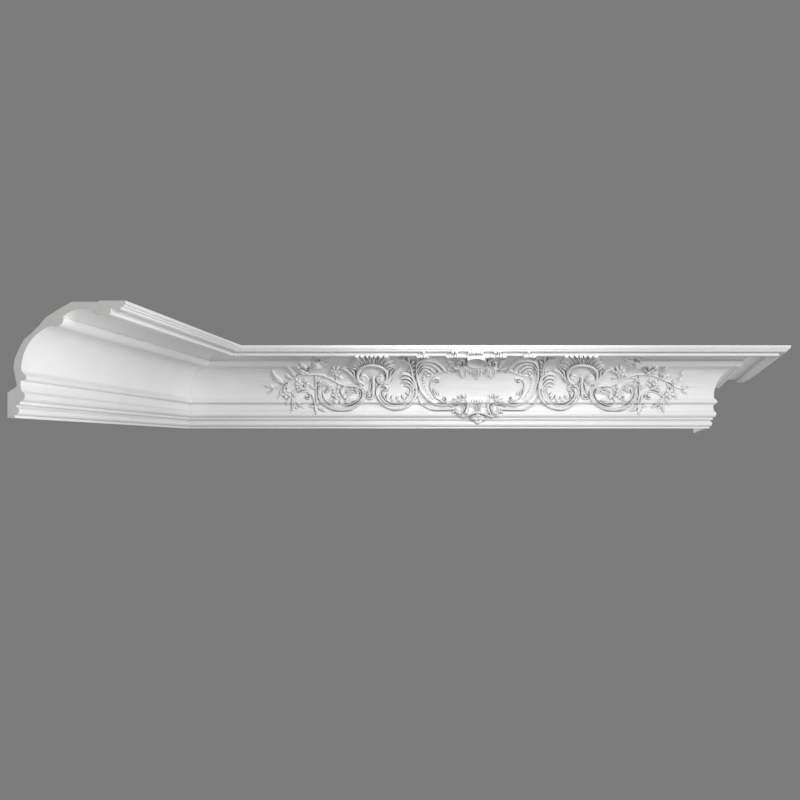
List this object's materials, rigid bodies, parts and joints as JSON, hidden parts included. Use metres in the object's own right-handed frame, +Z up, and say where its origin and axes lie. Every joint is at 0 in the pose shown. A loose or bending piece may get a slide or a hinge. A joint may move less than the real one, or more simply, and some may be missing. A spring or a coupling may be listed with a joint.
{
  "type": "cornice moulding",
  "caption": "Hollow-backed coved cornice in mitred lengths round an inside and an outside corner, with a rococo relief in the cove of the middle length.",
  "frame": {"origin": "centre of the whole run's box, at the level of its foot", "axes": "+X along the middle wall, to the right as seen from the room; +Y into the middle wall; +Z up to the ceiling"},
  "size_m": [1.439, 1.586, 0.1688],
  "materials": {
    "white_moulding": "primed white, satin-matt, moulded hard foam"
  },
  "bodies": {
    "root": {"left_length": "white_moulding", "centre_length": "white_moulding", "return_length": "white_moulding"}
  },
  "joints": []
}
